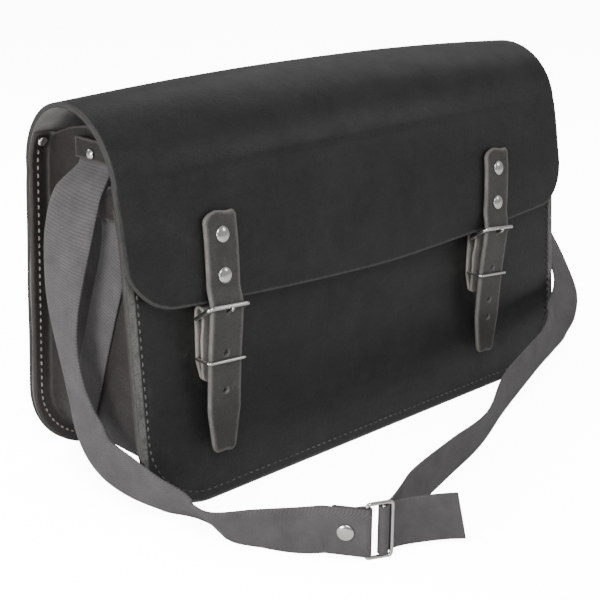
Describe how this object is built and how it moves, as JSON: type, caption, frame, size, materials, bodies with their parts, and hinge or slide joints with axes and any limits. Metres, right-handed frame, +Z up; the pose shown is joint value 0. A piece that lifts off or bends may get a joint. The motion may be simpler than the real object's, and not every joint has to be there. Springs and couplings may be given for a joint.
{
  "type": "tool bag",
  "caption": "Boxy leather tool bag with a wrap-over flap, buckled closure straps and a webbing shoulder strap lying in front of it",
  "frame": {"origin": "middle of the front panel's lower edge, on the floor", "axes": "+X to the right along the bag as seen from the front, +Y from the front to the back, +Z up"},
  "size_m": [0.4586, 0.2693, 0.2507],
  "materials": {
    "black_leather": "smooth, slightly waxed, fine grain",
    "gusset_leather": "smooth, dark brown tint",
    "strap_leather": "worn smooth, paler edges",
    "chape_leather": "dull flesh side",
    "webbing": "ribbed woven webbing",
    "nickel": "bright nickel plate"
  },
  "bodies": {
    "root": {"anchor_patch_left": "gusset_leather", "anchor_patch_right": "gusset_leather", "anchor_rivet_left": "nickel", "anchor_rivet_right": "nickel", "back_flap": "black_leather", "buckle_frame_left": "nickel", "buckle_frame_right": "nickel", "buckle_tongue_left": "nickel", "buckle_tongue_right": "nickel", "chape_left": "chape_leather", "chape_right": "chape_leather", "closure_rivet_lower_left": "nickel", "closure_rivet_lower_right": "nickel", "closure_rivet_upper_left": "nickel", "closure_rivet_upper_right": "nickel", "closure_strap_left": "strap_leather", "closure_strap_right": "strap_leather", "front_panel": "black_leather", "gusset": "gusset_leather", "gusset_tab_left": "gusset_leather", "gusset_tab_right": "gusset_leather", "seam_rivet_left": "nickel", "seam_rivet_right": "nickel", "shoulder_strap_left": "webbing", "shoulder_strap_right": "webbing", "side_strip_left": "webbing", "side_strip_right": "webbing", "slider_bar": "nickel", "slider_frame": "nickel", "slider_rivet": "nickel", "strap_keeper_left": "nickel", "strap_keeper_right": "nickel"}
  },
  "joints": []
}
